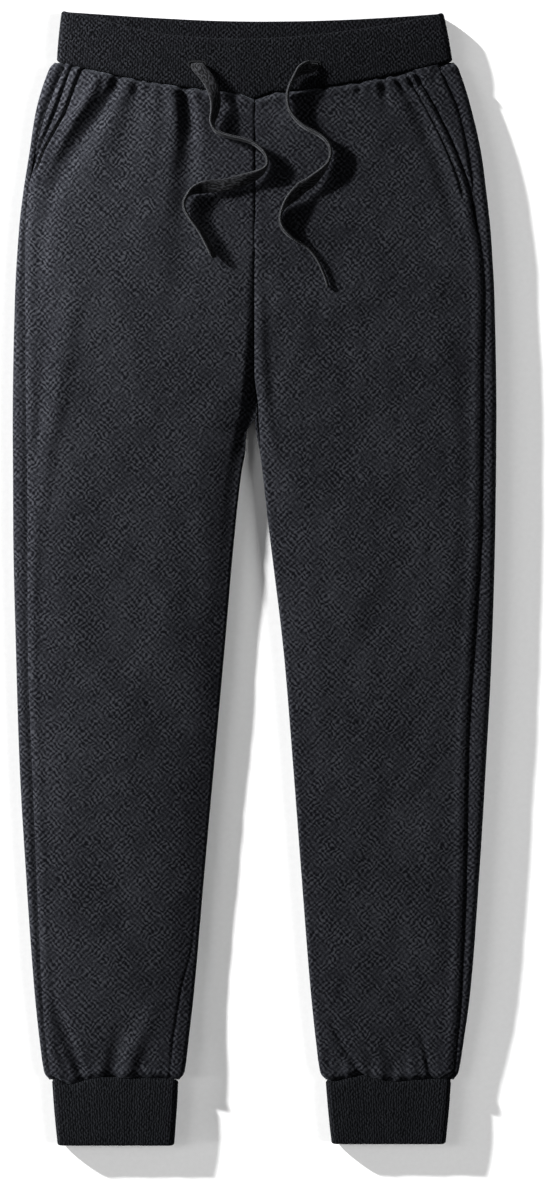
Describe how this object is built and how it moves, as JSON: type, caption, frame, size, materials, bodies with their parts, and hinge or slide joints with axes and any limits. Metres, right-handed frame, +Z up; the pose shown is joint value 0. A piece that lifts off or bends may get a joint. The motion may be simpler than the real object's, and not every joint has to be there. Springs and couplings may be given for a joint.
{
  "type": "jogger sweatpants",
  "caption": "Fleece jogger sweatpants lying flat, front up, with rib waistband and cuffs, slant pockets and a flat drawcord.",
  "frame": {"origin": "on the surface the garment lies on, under the middle of the garment's outline without the drawcord", "axes": "+Z up from the surface, +Y from the cuffs to the waist, +X to the right as seen from above with the waist at the top"},
  "size_m": [0.4115, 0.9648, 0.026],
  "materials": {
    "fleece": "heathered charcoal brushed sweatshirt fleece, matt with a soft nap",
    "waist_rib": "near-black fine rib knit over elastic, matt",
    "cuff_rib": "near-black fine rib knit folded double, matt",
    "webbing": "near-black flat woven tape, matt"
  },
  "bodies": {
    "root": {"waistband": "waist_rib", "front_left": "fleece", "front_right": "fleece", "back_left": "fleece", "back_right": "fleece", "pocket_facing_left": "fleece", "pocket_facing_right": "fleece", "cuff_left": "cuff_rib", "cuff_right": "cuff_rib", "drawcord_left": "webbing", "drawcord_right": "webbing"}
  },
  "joints": []
}
